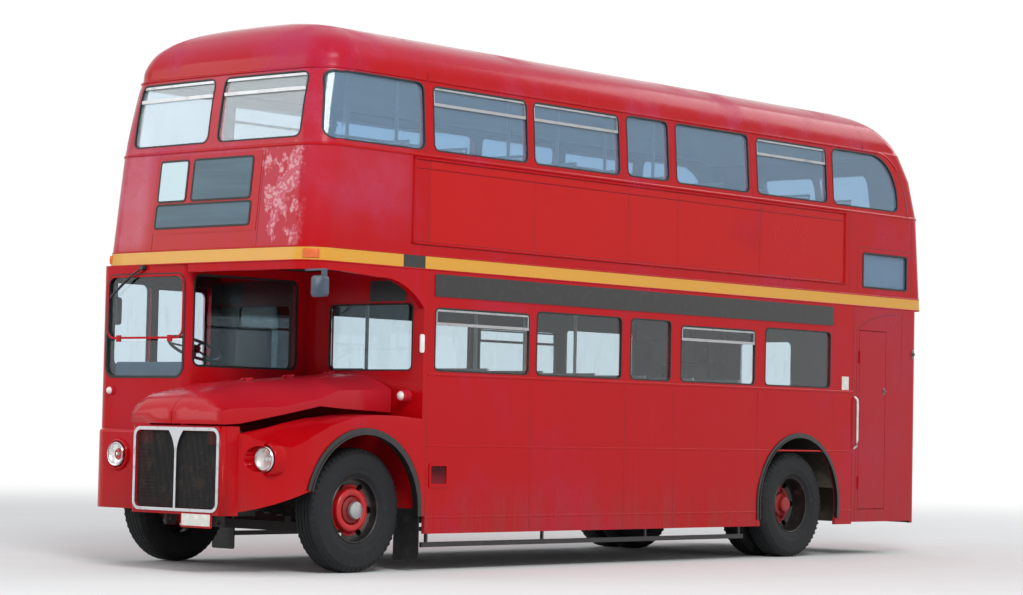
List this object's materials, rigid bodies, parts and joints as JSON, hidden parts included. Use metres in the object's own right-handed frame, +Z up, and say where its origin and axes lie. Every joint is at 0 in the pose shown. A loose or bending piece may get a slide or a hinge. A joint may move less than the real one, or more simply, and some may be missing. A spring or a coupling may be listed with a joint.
{
  "type": "half-cab double decker bus",
  "caption": "Red two-deck half-cab bus with a bonnet beside the cab, rounded roof, closed rear platform and working wheels, steering, bonnet and doors.",
  "frame": {"origin": "on the ground under the middle of the overall box", "axes": "+Z up, +Y towards the rear, +X towards the nearside (bonnet side)"},
  "size_m": [2.8, 9.2418, 4.382],
  "materials": {
    "bare_alloy": "satin",
    "black_paint": "satin",
    "black_plastic": "gloss",
    "chrome": "polished",
    "clear_glass": "clear",
    "floor_lino": "matte",
    "iron": "rough",
    "lamp_glass": "clear",
    "red_paint": "gloss",
    "seat_fabric": "woven",
    "seat_leather": "satin",
    "tyre_rubber": "matte"
  },
  "bodies": {
    "bus_body": {"blind_boxes": "black_paint", "bonnet_scuttle": "red_paint", "cab_dash": "black_paint", "cab_door_rails": "black_paint", "cab_floor": "floor_lino", "cab_shell": "red_paint", "chassis_frame": "black_paint", "driver_seat": "seat_leather", "engine_block": "iron", "front_axle": "iron", "front_bulkhead": "red_paint", "fuel_tank": "black_paint", "gearbox": "black_paint", "glass_cab": "clear_glass", "glass_lower": "clear_glass", "glass_upper": "clear_glass", "grab_poles": "bare_alloy", "grille_surround": "red_paint", "grille_trim": "chrome", "headlamps": "lamp_glass", "leaf_springs": "black_paint", "lifeguard_rails": "black_paint", "lower_floor": "floor_lino", "lower_rear": "red_paint", "lower_side_nearside": "red_paint", "lower_side_offside": "red_paint", "mirrors": "black_plastic", "platform_floor": "floor_lino", "platform_infill": "red_paint", "radiator_core": "black_paint", "rear_axle": "iron", "roof": "red_paint", "seat_frames_lower": "bare_alloy", "seat_frames_upper": "bare_alloy", "seats_lower": "seat_fabric", "seats_upper": "seat_fabric", "staircase": "black_paint", "steering_column": "black_paint", "upper_floor": "floor_lino", "upper_front": "red_paint", "upper_rear": "red_paint", "upper_side_nearside": "red_paint", "upper_side_offside": "red_paint", "wing_nearside": "red_paint", "wing_offside": "red_paint"},
    "knuckle_nearside_body": {"knuckle_nearside": "iron"},
    "knuckle_offside_body": {"knuckle_offside": "iron"},
    "wheel_front_nearside": {"tyre_front_nearside": "tyre_rubber", "rim_front_nearside": "black_paint"},
    "wheel_front_offside": {"tyre_front_offside": "tyre_rubber", "rim_front_offside": "black_paint"},
    "wheels_rear_nearside": {"tyres_rear_nearside": "tyre_rubber", "rims_rear_nearside": "black_paint"},
    "wheels_rear_offside": {"tyres_rear_offside": "tyre_rubber", "rims_rear_offside": "black_paint"},
    "bonnet_body": {"bonnet": "red_paint"},
    "cab_door_body": {"cab_door": "red_paint", "cab_door_glass": "clear_glass"},
    "platform_door_body": {"platform_door": "red_paint"},
    "steering_wheel_body": {"steering_wheel": "black_plastic"}
  },
  "joints": [
    {"name": "steer_nearside", "type": "hinge", "parent": "bus_body", "child": "knuckle_nearside_body", "pos_m": [0.85, -3.359, 0.49], "axis": [0, 0, 1], "range_deg": [-36, 36]},
    {"name": "steer_offside", "type": "hinge", "parent": "bus_body", "child": "knuckle_offside_body", "pos_m": [-0.85, -3.359, 0.49], "axis": [0, 0, 1], "range_deg": [-36, 36]},
    {"name": "steering_wheel_turn", "type": "hinge", "parent": "bus_body", "child": "steering_wheel_body", "pos_m": [-0.67, -3.489, 1.76], "axis": [0, 0.4226, 0.9063], "range_deg": [-720, 720]},
    {"name": "spin_front_nearside", "type": "hinge", "parent": "knuckle_nearside_body", "child": "wheel_front_nearside", "pos_m": [1.005, -3.359, 0.49], "axis": [1, 0, 0], "continuous": true},
    {"name": "spin_front_offside", "type": "hinge", "parent": "knuckle_offside_body", "child": "wheel_front_offside", "pos_m": [-1.005, -3.359, 0.49], "axis": [1, 0, 0], "continuous": true},
    {"name": "spin_rear_nearside", "type": "hinge", "parent": "bus_body", "child": "wheels_rear_nearside", "pos_m": [0.9, 2.483, 0.49], "axis": [1, 0, 0], "continuous": true},
    {"name": "spin_rear_offside", "type": "hinge", "parent": "bus_body", "child": "wheels_rear_offside", "pos_m": [-0.9, 2.483, 0.49], "axis": [1, 0, 0], "continuous": true},
    {"name": "bonnet_lift", "type": "hinge", "parent": "bus_body", "child": "bonnet_body", "pos_m": [0.333, -3.359, 1.544], "axis": [0, -0.9967, -0.0814], "range_deg": [0, 70]},
    {"name": "cab_door_slide", "type": "slide", "parent": "bus_body", "child": "cab_door_body", "axis": [0, 1, 0], "range_m": [0, 0.59]},
    {"name": "platform_door_swing", "type": "hinge", "parent": "bus_body", "child": "platform_door_body", "pos_m": [1.227, 3.477, 1.3], "axis": [0, 0, -1], "range_deg": [0, 100]}
  ],
  "couplings": [
    {"joint": "steer_offside", "follows": "steer_nearside", "ratio": 1},
    {"joint": "steering_wheel_turn", "follows": "steer_nearside", "ratio": 18}
  ]
}
